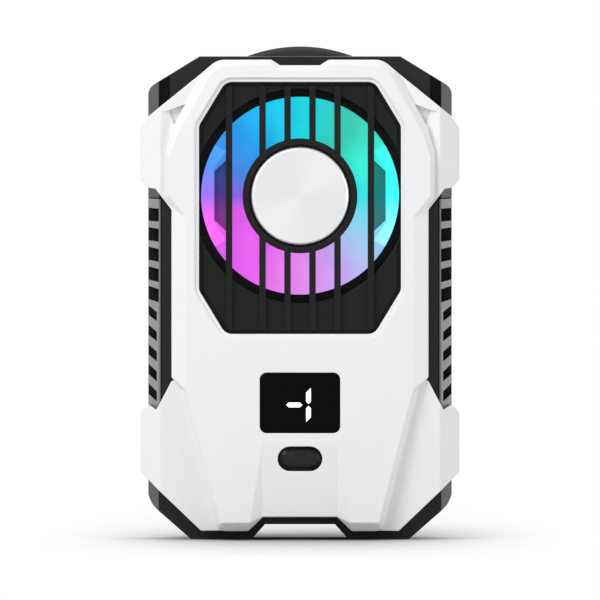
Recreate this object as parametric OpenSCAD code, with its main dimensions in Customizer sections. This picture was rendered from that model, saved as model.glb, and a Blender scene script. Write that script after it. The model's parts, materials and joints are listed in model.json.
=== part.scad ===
// Magnetic phone cooler: a fan, a heat pump and a lit ring in a two-part case.
// Every piece is drawn lying on its back: X is right, Y is height, Z runs from the rear face to the front.
// stand() then turns it upright, with the front facing -Y and the feet on Z = 0.

/* [Body] */
// Depth from the rear contact face to the front panel
body_t = 29; // [28.5:0.5:31]
// Width over the shoulders and hips
body_w = 63.9; // [63.5:0.1:65]
// Height of the rear case
case_h = 96.7; // [95:0.1:98.2]
// How far the waist is set in from the shoulders
waist_in = 6.25; // [6:0.05:6.6]
// How far the sides of the rear case are set in from the shoulders
case_in = 1.5; // [1.4:0.05:1.7]
// Drop of the front shell's top edge under that of the rear case
shell_drop = 0.6; // [0.2:0.1:0.8]
// Height of the front shell's leg ends
shell_foot = 1.8; // [1.2:0.1:2.2]
// Wall thickness of the mouldings
wall = 1.6; // [1.4:0.1:1.8]
// Thickness of the front panel
front_wall = 2; // [1.8:0.1:2.2]
// Gap between mouldings that meet
fit_gap = 0.2; // [0.15:0.05:0.3]
// Chamfer at the outer corners of the shoulders and hips
corner = 1.6; // [1.2:0.1:2]

/* [Shoulders and hips] */
// Drop of the shoulders' lower edge under the top of the rear case
shoulder_low_drop = 26.4; // [25.8:0.1:27]
// Drop of the corner where the shoulders meet the slope to the top
shoulder_high_drop = 11.9; // [11.3:0.1:12.5]
// Height of the lower corner of the hips
hip_y0 = 12; // [11:0.1:13]
// Height of the upper corner of the hips
hip_y1 = 27; // [26:0.1:28]
// Distance of the moulded ridge from the outer side
ridge_in = 3.95; // [3.4:0.05:4.5]
// Depth of the ridge behind the front panel
ridge_drop = 2.2; // [1.8:0.1:2.6]
// Depth of the valley beside the front panel
valley_drop = 3.1; // [2.8:0.1:3.4]
// Depth of the outer edge behind the front panel
edge_drop = 6.4; // [5.5:0.1:7]
// Backward tilt of the hips in degrees
hip_tilt = 2; // [0:0.5:4]
// Depth where the wrapped sides end
wrap_z = 11.5; // [10.5:0.1:12.5]

/* [Rear case] */
// Front rim of the rear case
rim_z = 20; // [19.8:0.1:20.4]
// Inward slope of the case sides up to the rim
side_slope = 2.1; // [1.8:0.1:2.4]
// How far the feet are set in from the sides of the rear case
foot_in = 8.6; // [8.2:0.1:9.2]
// Width of the notch between the feet
notch_w = 19.4; // [19:0.1:20]
// Height of the notch between the feet
notch_h = 3; // [2.8:0.1:3.2]
// Number of windows in each side vent
vent_windows = 10; // [9:1:12]
// Thickness of the slats between the upper windows
slat_t = 1.5; // [1.3:0.1:1.7]

/* [Contact face] */
// How far the round magnet housing is set in from the sides of the rear case
puck_in = 0.7; // [0.5:0.05:1]
// Thickness of the magnet housing
puck_t = 4.2; // [4:0.1:4.6]
// Thickness of the soft contact pad
pad_t = 0.8; // [0.6:0.1:1]
// Diameter of the cold plate
plate_d = 35.8; // [35:0.1:36.4]
// Thickness of the cold plate
plate_t = 3; // [2.8:0.1:3.2]
// Distance of the magnet ring's middle from the edge of the magnet housing
magnet_in = 5.5; // [5.3:0.05:5.7]
// Width of the magnet ring
magnet_w = 5.4; // [5:0.1:5.8]
// Thickness of the magnets
magnet_t = 2.2; // [2:0.1:2.4]
// Number of magnets
magnets = 16; // [12:1:18]

/* [Fan] */
// Drop of the fan axis under the top of the rear case
fan_drop = 27.8; // [27.6:0.1:28.1]
// Clearance round the impeller's blades
tip_gap = 0.6; // [0.5:0.05:1]
// Diameter of the impeller's hub
hub_d = 17.2; // [16.8:0.1:18]
// Number of blades
blades = 9; // [7:1:11]
// Blade pitch in degrees
blade_pitch = 40; // [32:1:48]
// Diameter of the shaft
shaft_d = 2; // [1.8:0.1:2.2]
// Running clearance of the shaft in its bush, on the radius
shaft_gap = 0.03; // [0.02:0.01:0.06]
// Running clearance round moving pieces
run_gap = 0.6; // [0.5:0.05:0.7]

/* [Grille and light] */
// How far the grille opening is set in from the waist
grille_in = 5.7; // [5.5:0.05:6]
// Drop of the grille's upper edge under the top of the rear case
grille_drop = 5.2; // [4.9:0.1:5.5]
// Place of the grille's lower edge, as a share of the way from the display up to the light ring
grille_low = 0.51; // [0.45:0.01:0.55]
// Depth of the bars behind the front panel
grille_recess = 1.4; // [1.2:0.1:1.6]
// Height of the raised bars on the grille
bar_rise = 1; // [0.8:0.1:1.1]
// Width of one bar
bar_w = 1.3; // [1.1:0.1:1.5]
// Width of the dark gap round the light guide
guide_gap = 1.7; // [1.5:0.05:1.9]
// Outer diameter of the hub ring, as a share of the light guide's
hub_share = 0.58; // [0.56:0.005:0.6]
// Width of the hub ring's rim round the silver hub disc
hub_rim = 1.6; // [1.4:0.05:1.8]
// Thickness of the light guide under its raised blocks
guide_t = 1.6; // [1.4:0.1:1.8]
// Number of light chips
leds = 16; // [12:1:20]

/* [Front controls] */
// Width of the display window
display_w = 16.1; // [15.6:0.1:16.6]
// Height of the display window
display_h = 12.1; // [11.6:0.1:12.4]
// Height of the display's middle over the feet
display_y = 27.5; // [27.3:0.1:27.8]
// Corner radius of the display
display_r = 1.4; // [1:0.1:2]
// Length of the button opening
button_w = 8.9; // [8.5:0.1:9.3]
// Height of the button opening
button_h = 4.9; // [4.6:0.1:5.2]
// Height of the button over the feet
button_y = 16.3; // [16.1:0.1:16.6]
// Travel of the button
button_travel = 0.4; // [0.3:0.05:0.5]
// Height where the recess under the display begins
recess_y = 19.7; // [19.6:0.1:20.2]
// Depth of that recess at the level of the feet
recess_t = 2; // [1.6:0.1:2.2]

/* [Cooling] */
// Width and height of the heat pump
peltier_w = 24; // [22:0.5:24.5]
// Gap between the heat sink's screws and the vents
sink_gap = 3.3; // [2.5:0.1:4]
// Height of the heat sink
sink_h = 29; // [28:0.5:29.5]
// Thickness of the heat sink's base
sink_base_t = 1.6; // [1.4:0.1:1.8]
// Number of heat sink fins
fins = 12; // [9:1:14]
// Thickness of one fin
fin_t = 0.8; // [0.6:0.1:1]
// Height of the fan with its frame
fan_h = 8; // [7.6:0.1:8.4]

/* [Electronics] */
// Width of the main board
board_w = 40; // [39:0.5:41]
// Lower edge of the main board
board_y0 = 12.6; // [12.4:0.1:12.8]
// Gap between the main board and the fan's lower ears
board_gap = 6.2; // [5.8:0.1:6.8]
// Thickness of the boards
board_t = 1.2; // [1:0.1:1.4]
// Front face of the main board
board_z = 17; // [16.8:0.1:17.1]
// Width of the battery
battery_w = 30; // [28:0.5:30.4]
// Gap between the battery and the fan's lower ears
battery_gap = 8.4; // [7.4:0.1:10.4]
// Thickness of the battery
battery_t = 6; // [5:0.1:7]
// Thickness of the foam behind the battery
foam_t = 0.8; // [0.5:0.1:1]
// Width of the charging socket
port_w = 9; // [8.8:0.05:9.2]
// Thickness of the charging socket
port_t = 3.2; // [3.1:0.05:3.4]

/* [Fasteners] */
// Thread diameter of the screws
screw_d = 2; // [1.8:0.1:2.2]
// Head diameter of the screws
head_d = 3.4; // [3.2:0.1:3.8]
// Head height of the screws
head_h = 1.3; // [1.1:0.1:1.5]
// Diameter of the screw bosses
boss_d = 5; // [4.8:0.1:5.2]
// Depth where the bosses of the two case halves meet
split_z = 16; // [15:0.5:17]

/* [Hidden] */
$fn = 64;
// How far a rib or boss runs into the wall it stands on
root = 0.5;
// Extra reach of a cut past the face it opens
over = 1;
// Straight steps in a rounded corner of an outline
bend_steps = 5;

// Colours
white = "#f1f2f3";
black = "#17181a";
slate = "#3a3c40";
silver = "#d5d6d9";
steel = "#a9abaf";
copper = "#b5713a";
green = "#1f5a3c";
glow = "#8fb8ff";

// Widths and heights that follow from the body
side_x = body_w / 2;
waist_x = side_x - waist_in;
case_x = side_x - case_in;
shell_top = case_h - shell_drop;
shoulder_y0 = case_h - shoulder_low_drop;
shoulder_y1 = case_h - shoulder_high_drop;
fan_y = case_h - fan_drop;
grille_w = 2 * (waist_x - grille_in);
mouth_d = min(grille_w + 3, 2 * (case_h - grille_drop - fan_y) - 2.2);
guide_d = mouth_d - 2 * guide_gap;
hub_ring_d = hub_share * guide_d;
badge_d = hub_ring_d - 2 * hub_rim;
guide_in_d = hub_ring_d - hub_rim;
puck_d = 2 * (case_x - puck_in);
magnet_pcd = puck_d - 2 * magnet_in;
frame_d = guide_d - 1.2;
rotor_d = frame_d - 2 * tip_gap;
fan_ear_r = frame_d / 2 + 5.5;
fan_ear_deg = 62;
fan_boss_d = 4.6;
ear_low_y = fan_y - fan_ear_r * sin(fan_ear_deg) - fan_boss_d / 2;
display_top = display_y + display_h / 2;
grille_y0 = display_top + grille_low * (fan_y - guide_d / 2 - display_top);
grille_y1 = case_h - grille_drop;

// Depths from the rear face to the front
case_z0 = pad_t + puck_t;
floor_z = case_z0 + wall;
panel_z = body_t - front_wall;
grille_t = 1.4;
bar_z = body_t - grille_recess;
grille_z1 = bar_z - bar_rise;
grille_z0 = grille_z1 - grille_t;
block_rise = 0.6;
guide_z2 = grille_z0 - fit_gap;
guide_z1 = guide_z2 - block_rise;
guide_z0 = guide_z1 - guide_t;
led_t = 0.4;
led_board_t = 0.8;
fan_z1 = guide_z0 - led_t - led_board_t;
fan_z0 = fan_z1 - fan_h;
fan_base_t = 1.2;
motor_z = fan_z0 + fan_base_t;
rotor_z0 = motor_z + run_gap;
rotor_z1 = fan_z1 - run_gap;

// Front shell: outline points of the right side, from the leg up to the top
ridge_x = side_x - ridge_in;
valley_x = ridge_x - 2;
ridge_z = body_t - ridge_drop;
valley_z = body_t - valley_drop;
edge_z = body_t - edge_drop;
bevel_drop = 1.8;
bevel_z = body_t - bevel_drop;
leg_out_x = waist_x - 5.9;
peak_x = ridge_x - 1;
crease0 = [waist_x - 9.2, shell_foot];
crease1 = [waist_x - 1.9, hip_y1 + 3.2];
waist0 = [waist_x, hip_y1 + 5.6];
waist1 = [waist_x, shoulder_y0 - 3.5];
peak0 = [peak_x, shoulder_y0 - 1.8];
peak1 = [peak_x, shoulder_y1 - 7];
cheek = [peak_x - 1.6, shoulder_y1 - 2];
kink = [waist_x - 6.2, shell_top - 2.5];
crown = [waist_x - 9.1, shell_top];
leg_notch = [[10.4, shell_foot], [7.4, shell_foot + 2.85]];
top_notch = [[5.7, shell_top], [4, shell_top - 1.1]];
core_half = [
    leg_notch[1], leg_notch[0], crease0, crease1, waist0, waist1, peak0, peak1, cheek, kink, crown,
    top_notch[0], top_notch[1]
];
// Rounded outer corners of the legs and of the top
crease_arc = bend(leg_notch[0], crease0, crease1, 2);
crown_arc = bend(kink, crown, top_notch[0], 4);
// How far the edges lean in between the bevel and the front panel
edge_run = 0.9;
leg_run = 1.7;
crease_run = 1.1;
hip_run = 0.8;
waist_run = 2.9;
neck_run = 1;
cheek_run = 1.2;
brow_run = 1.45;
crown_run = 1.25;
shoulder_in_x = kink[0] - 2.5;
shoulder_low = waist1[1] - 1.3;
shoulder_outline = [
    [shoulder_in_x, shoulder_low], [waist_x, shoulder_low + 0.6], [side_x - 3, shoulder_y0],
    [side_x - corner, shoulder_y0 + 0.2], [side_x, shoulder_y0 + 0.2 + corner],
    [side_x, shoulder_y1 - 1.5 * corner], [side_x - corner, shoulder_y1], kink,
    [shoulder_in_x, kink[1] - 1]
];
plate_drop = 0.1;
plate_y = shoulder_y1 + 1.2;
pit_t = 0.9;
hip_in_x = crease0[0] - 3.5;
hip_top = waist0[1] - 0.8;
hip_outline = [
    [hip_in_x, shell_foot], [leg_out_x, shell_foot], [side_x - 3.4, hip_y0 - 1.8],
    [side_x - corner, hip_y0], [side_x, hip_y0 + corner], [side_x, hip_y1 - corner],
    [side_x - corner, hip_y1], [side_x - 3.2, hip_y1 - 1], [waist_x, hip_top], [hip_in_x, hip_top]
];

// Rear case
slope_z = 13;
rear_chamfer = 1.2;
foot_x = case_x - foot_in;
notch_x = notch_w / 2;
seat_w = 2;

// Screws of the case, as places on the right side
case_screw_at = [[waist_x - 4.3, case_h - 10.1], [waist_x - 4.7, 9.5]];
head_gap = 0.15;
boss_z1 = grille_z0 - fit_gap;

// Closes a right-hand half outline into a whole one
function whole(half) = concat(half, [for (i = [len(half) - 1 : -1 : 0]) [-half[i][0], half[i][1]]]);

// Moves each edge of an anticlockwise outline inwards by d
function unit(v) = v / norm(v);
function left(v) = [-v[1], v[0]];
function inset(p, d) = [
    for (i = [0 : len(p) - 1])
        let (n = len(p), a = left(unit(p[i] - p[(i + n - 1) % n])), b = left(unit(p[(i + 1) % n] - p[i])))
            p[i] + d * (a + b) / (1 + a * b)
];
// Arc of radius r in place of the corner b of an anticlockwise outline, between its neighbours a and c
function bend(a, b, c, r) =
    let (
        u = unit(a - b), v = unit(c - b), half = acos(u * v) / 2, middle = b + r / sin(half) * unit(u + v),
        start = b + r / tan(half) * u - middle, first = atan2(start[1], start[0])
    ) [
        for (k = [0 : bend_steps])
            let (t = first + k / bend_steps * (180 - 2 * half)) middle + r * [cos(t), sin(t)]
    ];
function repeat(value, count) = [for (i = [1 : count]) value];
// Point d further on along the line from a to b
function beyond(a, b, d) = b + d * unit(b - a);

module stand() {
    translate([0, body_t / 2, 0]) rotate([90, 0, 0]) children();
}

module slab(p, z0, z1) {
    translate([0, 0, z0]) linear_extrude(z1 - z0) polygon(p);
}

module disc(d, z0, z1) {
    translate([0, 0, z0]) cylinder(d = d, h = z1 - z0);
}

module ring(d_out, d_in, z0, z1) {
    difference() {
        disc(d_out, z0, z1);
        disc(d_in, z0 - over, z1 + over);
    }
}

module box(w, h, z0, z1) {
    translate([-w / 2, -h / 2, z0]) cube([w, h, z1 - z0]);
}

module along_y(y0, y1) {
    translate([0, y1, 0]) rotate([90, 0, 0]) linear_extrude(y1 - y0) children();
}

// Everything left of the line from p to q, bounded by a plane that leans in by run per drop of height above z
module lean(p, q, z, run, drop) {
    far = 2 * shell_top;
    v = q - p;
    translate([p[0], p[1], z]) rotate(atan2(v[1], v[0])) rotate([atan2(drop, run), 0, 0])
        translate([-far, -far, -far]) cube([2 * far, 2 * far, far]);
}

// Opening with an outline p at height z that widens by run up to a front face at z + drop
module flare(p, z, run, drop) {
    far = 2 * shell_top;
    intersection() {
        translate([-far, -far, z - drop / 2]) cube([2 * far, 2 * far, 2 * drop]);
        intersection_for(i = [0 : len(p) - 1]) lean(p[i], p[(i + 1) % len(p)], z, -run, drop);
    }
}

module along_x(x0, x1) {
    translate([x0, 0, 0]) rotate([90, 0, 90]) linear_extrude(x1 - x0) children();
}

module both_sides_meet() {
    intersection() {
        children();
        mirror([1, 0, 0]) children();
    }
}

module both_sides() {
    children();
    mirror([1, 0, 0]) children();
}

module at_fan() {
    translate([0, fan_y, 0]) children();
}

module at_case_screws() {
    both_sides() for (p = case_screw_at) translate(p) children();
}

module rounded_box(w, h, r, z0, z1) {
    box(w - 2 * r, h, z0, z1);
    box(w, h - 2 * r, z0, z1);
    for (x = [-1, 1], y = [-1, 1]) translate([x * (w / 2 - r), y * (h / 2 - r), 0]) disc(2 * r, z0, z1);
}

// Pan-head screw that points to the front, with its head's outer face at z
module screw(z, length) {
    disc(head_d, z, z + head_h);
    disc(screw_d, z + head_h - root, z + length);
}

// Octagon of the grille with rounded corners, grown by d
grille_cut_x = 5.2;
grille_cut_y = 8.6;
grille_bend = 2.2;
grille_half = [
    [0, grille_y0], [grille_w / 2 - grille_cut_x, grille_y0], [grille_w / 2, grille_y0 + grille_cut_y],
    [grille_w / 2, grille_y1 - grille_cut_y], [grille_w / 2 - grille_cut_x, grille_y1], [0, grille_y1]
];
function grille_outline(d) = inset(whole([
    for (i = [1 : len(grille_half) - 2])
        each bend(grille_half[i - 1], grille_half[i], grille_half[i + 1], grille_bend)
]), -d);

// Front of a shoulder or hip, lowered by d: level out to in_x, up to the ridge, then down to the edge
module roof(in_x, low_z, tilt, d) {
    fall = (ridge_z - edge_z) / ridge_in;
    translate([0, waist0[1], ridge_z - d]) rotate([tilt, 0, 0]) translate([0, -waist0[1], -ridge_z])
        along_y(-body_t, 2 * shell_top)
            polygon([
                [0, -body_t], [0, low_z], [in_x, low_z], [ridge_x, ridge_z],
                [side_x + over, edge_z - over * fall], [side_x + over, -body_t]
            ]);
}

// Shoulder or hip: wraps round the side of the rear case
module pauldron(outline, in_x, low_z, tilt) {
    gap_x = case_x + fit_gap;
    intersection() {
        slab(outline, wrap_z, body_t);
        along_y(0, shell_top)
            polygon([
                [0, rim_z], [0, body_t], [side_x, body_t], [side_x, wrap_z], [gap_x, wrap_z],
                [gap_x, slope_z], [gap_x - side_slope, rim_z]
            ]);
        roof(in_x, low_z, tilt, 0);
    }
}

module pauldron_hollow(outline, in_x, tilt) {
    thick = 1.4 * wall;
    intersection() {
        slab(inset(outline, wall), rim_z - over, body_t);
        along_y(0, shell_top)
            polygon([
                [0, rim_z - over], [0, body_t], [side_x - thick, body_t], [side_x - thick, edge_z],
                [case_x - side_slope, rim_z - over]
            ]);
        roof(in_x, valley_z, tilt, wall);
    }
}

// Shoulder with a level top plate, a valley beside the panel and a small pit where the valley starts
module shoulder() {
    pit_out = [valley_x + 0.2, plate_y];
    pit_in = [cheek[0] - 2.2, plate_y + 1.1];
    difference() {
        pauldron(shoulder_outline, valley_x, valley_z, 0);
        slab([cheek + [-0.2, 0.4], pit_out, pit_in], valley_z - pit_t, body_t);
    }
    intersection() {
        pauldron(shoulder_outline, valley_x, ridge_z - plate_drop, 0);
        slab([
            [side_x + over, plate_y - 0.6], [side_x + over, shell_top], [0, shell_top],
            [0, pit_in[1] + over], pit_in, pit_out
        ], rim_z - over, body_t);
    }
}

// Trough under the display that deepens towards the feet, with walls that lean outwards
module recess_cut() {
    floor_x = 7.5;
    lean = 1.45;
    rise = 2 * recess_t;
    wide_x = floor_x + lean * rise;
    translate([0, recess_y, body_t]) rotate([atan(recess_t / recess_y), 0, 0])
        along_y(-2 * recess_y, over)
            polygon([[-floor_x, 0], [floor_x, 0], [wide_x, rise], [-wide_x, rise]]);
}

module pill(w, h, z0, z1) {
    box(w - h, h, z0, z1);
    for (s = [-1, 1]) translate([s * (w - h) / 2, 0, 0]) disc(h, z0, z1);
}

// Pill that draws in by run between z0 and z1
module tapered_pill(w, h, z0, z1, run) {
    x = (w - h) / 2;
    along_x(-x, x) polygon([[-h / 2, z0], [h / 2, z0], [h / 2 - run, z1], [run - h / 2, z1]]);
    for (s = [-1, 1]) translate([s * x, 0, z0]) cylinder(d1 = h, d2 = h - 2 * run, h = z1 - z0);
}

// Front shell

lip_w = 1.2;
bezel_w = 0.9;
bezel_lip = 0.63;
bezel_z = body_t - 0.4;
thread_gap = 0.05;
pad_x = 11.6;

// Part of the front panel between two mirrored chains of points, each edge with its own lean
module core_block(half, runs) {
    p = whole(half);
    intersection() {
        slab(p, rim_z - over, body_t + over);
        both_sides_meet() intersection_for(i = [0 : len(runs) - 1])
            lean(half[i], half[i + 1], bevel_z, runs[i], bevel_drop);
    }
}

// Front panel with its bevelled edges
module shell_core() {
    intersection() {
        union() {
            core_block(concat(crease_arc, [beyond(crease0, crease1, root)]), repeat(crease_run, len(crease_arc)));
            core_block([beyond(waist0, crease1, 9), waist0, waist1 + [0, 6]], [hip_run, waist_run]);
            core_block(concat([beyond(peak0, waist1, 8), peak0, peak1, cheek, kink], crown_arc),
                concat([neck_run, edge_run, cheek_run, brow_run], repeat(crown_run, len(crown_arc))));
        }
        translate([-side_x, 0, rim_z]) cube([body_w, shell_top, body_t - rim_z]);
        lean([-side_x, shell_foot], [side_x, shell_foot], bevel_z, leg_run, bevel_drop);
        lean([side_x, shell_top], [-side_x, shell_top], bevel_z, edge_run, bevel_drop);
    }
}

// Notches in the lower and upper edge of the front panel
module core_notches() {
    low = whole([[leg_notch[0][0], shell_foot - over], leg_notch[0], leg_notch[1]]);
    high = whole([top_notch[1], top_notch[0], [top_notch[0][0], shell_top + over]]);
    for (p = [low, high]) {
        slab(p, rim_z - over, body_t + over);
        flare(p, bevel_z, edge_run, bevel_drop);
    }
}

module shell_solid() {
    difference() {
        shell_core();
        core_notches();
    }
    both_sides() shoulder();
    both_sides() pauldron(hip_outline, hip_in_x, valley_z, hip_tilt);
}

module shell_hollow() {
    slab(inset(whole(core_half), wall), rim_z - over, panel_z);
    both_sides() pauldron_hollow(shoulder_outline, valley_x, 0);
    both_sides() pauldron_hollow(hip_outline, hip_in_x, hip_tilt);
}

// Lip that the grille seats against, the pad behind the recess and the screw bosses
module shell_inside() {
    slab(grille_outline(fit_gap + lip_w), grille_z1, panel_z + root);
    translate([0, (leg_notch[1][1] + recess_y) / 2, 0])
        box(2 * pad_x, recess_y - leg_notch[1][1], panel_z - recess_t, panel_z + root);
    at_case_screws() disc(boss_d, split_z, boss_z1);
}

module shell_cuts() {
    slab(grille_outline(fit_gap), rim_z, body_t + over);
    flare(grille_outline(fit_gap + bezel_lip), bezel_z, bezel_w - bezel_lip, body_t - bezel_z);
    recess_cut();
    translate([0, display_y, 0]) rounded_box(display_w, display_h, display_r, rim_z, body_t + over);
    translate([0, button_y, 0]) pill(button_w, button_h, rim_z, body_t + over);
    at_case_screws() disc(screw_d + 2 * thread_gap, split_z - over, boss_z1 - over);
}

module front_shell() {
    color(white) stand() difference() {
        union() {
            difference() {
                shell_solid();
                shell_hollow();
            }
            shell_inside();
        }
        shell_cuts();
    }
}

// Grille, hub disc and light ring

bar_at = [0.71, 0.375, 0.125];
hub_seat_t = 1;
hub_seat_z = grille_z0 + hub_seat_t;
badge_rise = 0.4;
badge_z = bar_z + badge_rise;
badge_gap = 0.35;
badge_bevel = 0.5;
border_w = 0.5;
border_t = 0.6;

// Sunk border of the grille along the edge of the opening
module grille_border() {
    difference() {
        slab(grille_outline(fit_gap), grille_z1 - border_t, bar_z + over);
        slab(grille_outline(-border_w), grille_z0, body_t);
    }
}

module fan_grille() {
    color(black) stand() difference() {
        union() {
            difference() {
                slab(grille_outline(fit_gap + lip_w), grille_z0, grille_z1);
                at_fan() disc(mouth_d, grille_z0 - over, bar_z + over);
            }
            for (a = bar_at, s = [-1, 1]) translate([s * a * grille_w / 2, (grille_y0 + grille_y1) / 2, 0])
                box(bar_w, grille_y1 - grille_y0, grille_z0, bar_z);
            at_fan() disc(hub_ring_d, grille_z0, bar_z);
        }
        at_fan() disc(badge_d + 2 * badge_gap, hub_seat_z, bar_z + over);
        grille_border();
    }
}

module hub_badge() {
    r = badge_d / 2;
    color(silver) stand() at_fan() rotate_extrude() polygon([
        [0, hub_seat_z], [r, hub_seat_z], [r, badge_z - badge_bevel],
        [r - badge_bevel, badge_z], [0, badge_z]
    ]);
}

// Dark window of the ring, grown by d, and the raised light block round it
window_in = 0.354 * guide_d;
window_kink = 0.376 * guide_d;
window_out = 0.432 * guide_d;
window_h = window_in;
window_out_h = 0.7 * window_h;
block_in = 0.374 * guide_d;
block_out = 0.437 * guide_d;
block_h = 0.45 * guide_d;
block_out_h = 0.584 * block_h;
block_flare = 0.6;
window_t = 0.6;

module light_window() {
    slab([
        [window_in, -window_h / 2], [window_kink, -window_h / 2], [window_out, -window_out_h / 2],
        [window_out, window_out_h / 2], [window_kink, window_h / 2], [window_in, window_h / 2]
    ], guide_z0 + window_t, guide_z2 + over);
}

module light_block() {
    far = guide_d;
    far_h = block_h / 2 + (far - block_in) * block_flare;
    intersection() {
        disc(guide_d, guide_z0, guide_z2);
        slab([
            [block_in, -block_h / 2], [far, -far_h], [far, far_h], [block_in, block_h / 2],
            [block_out, block_out_h / 2], [block_out, -block_out_h / 2]
        ], guide_z0, guide_z2);
    }
}

module light_guide() {
    color(glow) stand() at_fan() difference() {
        union() {
            ring(guide_d, guide_in_d, guide_z0, guide_z1);
            both_sides() light_block();
        }
        both_sides() light_window();
    }
}

led_in_d = guide_d - 6;
led_rim = guide_gap + 0.4;
led_w = 1.6;
led_pcd = guide_d - 2.4;

module led_ring_board() {
    color(black) stand() at_fan() ring(guide_d + 2 * led_rim, led_in_d, fan_z1, fan_z1 + led_board_t);
}

module led_chips() {
    color(white) stand() at_fan() for (i = [0 : leds - 1]) rotate((i + 0.5) * 360 / leds)
        translate([led_pcd / 2, 0, 0]) box(led_w, led_w, fan_z1 + led_board_t, guide_z0);
}

// Display

window_z = body_t - 0.3;
flange_w = 1.2;
flange_t = 1;
segment_t = 0.1;
segment_w = 0.95;
segment_l = 3.2;
segment_gap = 0.4;
figure_drop = 0.4;
digit_x = 1.7;
dash_x = -1.15;

module display_window() {
    color(black) stand() translate([0, display_y, 0]) {
        z0 = panel_z - flange_t;
        rounded_box(display_w - 2 * fit_gap, display_h - 2 * fit_gap, display_r, z0, window_z);
        box(display_w + 2 * flange_w, display_h + 2 * flange_w, z0, panel_z);
    }
}

// One bar of a lit figure, pointed at its inner end and slanted or pointed at its outer end
module segment(x, y, turn, slanted) {
    h = segment_l / 2;
    w = segment_w / 2;
    tip = slanted ? [[h, -w], [h - 2 * w, w]] : [[h - w, -w], [h, 0], [h - w, w]];
    bar = concat([[-h, 0], [w - h, -w]], tip, [[w - h, w]]);
    translate([x, y, 0]) rotate(turn) slab(bar, window_z, window_z + segment_t);
}

module display_segments() {
    step = (segment_l + segment_gap) / 2;
    color(white) stand() translate([0, display_y - figure_drop, 0]) {
        segment(dash_x, 0, 0, false);
        for (s = [-1, 1]) segment(digit_x, s * step, s * 90, true);
    }
}

module_w = 14;
module_h = 10;
module_t = 3.2;
header_w = 2.4;

module display_module() {
    z1 = panel_z - flange_t;
    color(slate) stand() translate([0, display_y, 0]) {
        box(module_w, module_h, z1 - module_t, z1);
        for (s = [-1, 1]) translate([0, s * (module_h - header_w) / 2, 0])
            box(module_w, header_w, board_z, z1 - module_t + root);
    }
}

// Button and its switch

button_gap = 0.3;
button_proud = 0.2;
button_z1 = body_t - button_proud;
button_run = 0.75;
button_bevel_z = button_z1 - 0.45;
button_flange_w = 0.8;
button_flange_t = 0.9;
button_stop_z = panel_z - recess_t - button_gap;
post_d = 2.4;
switch_w = 4.5;
switch_t = 1.8;
plunger_d = 2;
plunger_gap = 0.1;
plunger_rise = 0.9;
switch_z = board_z + switch_t;

module power_button() {
    w = button_w - 2 * button_gap;
    h = button_h - 2 * button_gap;
    color(black) stand() translate([0, button_y, 0]) {
        pill(w, h, button_stop_z - button_flange_t, button_bevel_z);
        tapered_pill(w, h, button_bevel_z, button_z1, button_run);
        pill(w + 2 * button_flange_w + 2 * button_gap, h + 2 * button_flange_w + 2 * button_gap,
            button_stop_z - button_flange_t, button_stop_z);
        disc(post_d, switch_z + plunger_rise, button_stop_z - button_flange_t / 2);
    }
}

module switch_plunger() {
    color(slate) stand() translate([0, button_y, 0])
        disc(plunger_d, switch_z - button_travel, switch_z + plunger_rise);
}

module tact_switch() {
    color(steel) stand() translate([0, button_y, 0]) difference() {
        box(switch_w, switch_w, board_z, switch_z);
        disc(plunger_d + 2 * plunger_gap, switch_z - 2 * button_travel - button_gap, switch_z + over);
    }
}

// Rear case and side vents

rim_t = 1.4;
case_top_x = case_x - 10.3;
case_cut = 6.3;
heel_in = 0.95;
heel_y = 6.7;
hip_side_y = 8.6;
notch_slope = 2.7;
vent_y0 = hip_y1 - 1.2;
vent_y1 = shoulder_y0 - 1.9;
vent_z0 = floor_z + 2;
vent_z1 = rim_z - rim_t;
vent_in_x = case_x - side_slope - wall;
vent_front_x = case_x - side_slope - 0.6;
fan_ear_at = [for (s = [-1, 1], t = [0, 180]) s * fan_ear_deg + t];
board_y1 = ear_low_y - board_gap;
board_screw_x = board_w / 2 - 2.4;
board_screw_y = [board_y0 + 2.4, board_y1 - 2.6];
board_boss_d = 3.8;
board_back = board_z - board_t;
sink_screw_x = vent_in_x - sink_gap;
sink_w = 2 * sink_screw_x - 4.6;
sink_screw_y = 11;
port_z0 = board_back - port_t;
port_y0 = notch_h + 0.4;
port_l = 7.4;

case_bend = wall + 0.8;
heel = [case_x - heel_in, heel_y];
hip_side = [case_x, hip_side_y];
brow = [case_x, case_h - case_cut];
case_top = [case_top_x, case_h];
case_outline = whole(concat(
    [[notch_x - notch_slope, notch_h], [notch_x, 0], [foot_x, 0]],
    bend([foot_x, 0], heel, hip_side, case_bend), bend(heel, hip_side, brow, case_bend),
    bend(hip_side, brow, case_top, case_bend), [case_top]
));
rail_w = 2.2;
rail_t = 0.4;
rail_y = shoulder_y1 - 4;

module at_fan_screws() {
    at_fan() for (a = fan_ear_at) rotate(a) translate([fan_ear_r, 0, 0]) children();
}

module at_board_screws() {
    both_sides() for (y = board_screw_y) translate([board_screw_x, y, 0]) children();
}

module at_sink_screws() {
    at_fan() both_sides() for (s = [-1, 1]) translate([sink_screw_x, s * sink_screw_y, 0]) children();
}

// Block of the rear case, drawn in by d, with a chamfer at its rear and sides that slope in to the rim
module case_block(d, z0, z1, chamfer) {
    x = case_x - d;
    y = case_h - d;
    intersection() {
        slab(inset(case_outline, d), z0, z1);
        along_y(-over, case_h + over)
            polygon(whole([[x - chamfer, z0], [x, z0 + chamfer], [x, slope_z], [x - side_slope, rim_z]]));
        along_x(-body_w, body_w)
            polygon([[-over, z0], [y - chamfer, z0], [y, z0 + chamfer], [y, rim_z], [-over, rim_z]]);
    }
}

module case_tub() {
    difference() {
        case_block(0, case_z0, rim_z, rear_chamfer);
        case_block(wall, floor_z, rim_z - rim_t, rear_chamfer / 2);
        slab(inset(whole(core_half), seat_w), rim_z - rim_t - over, rim_z + over);
    }
}

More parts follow.
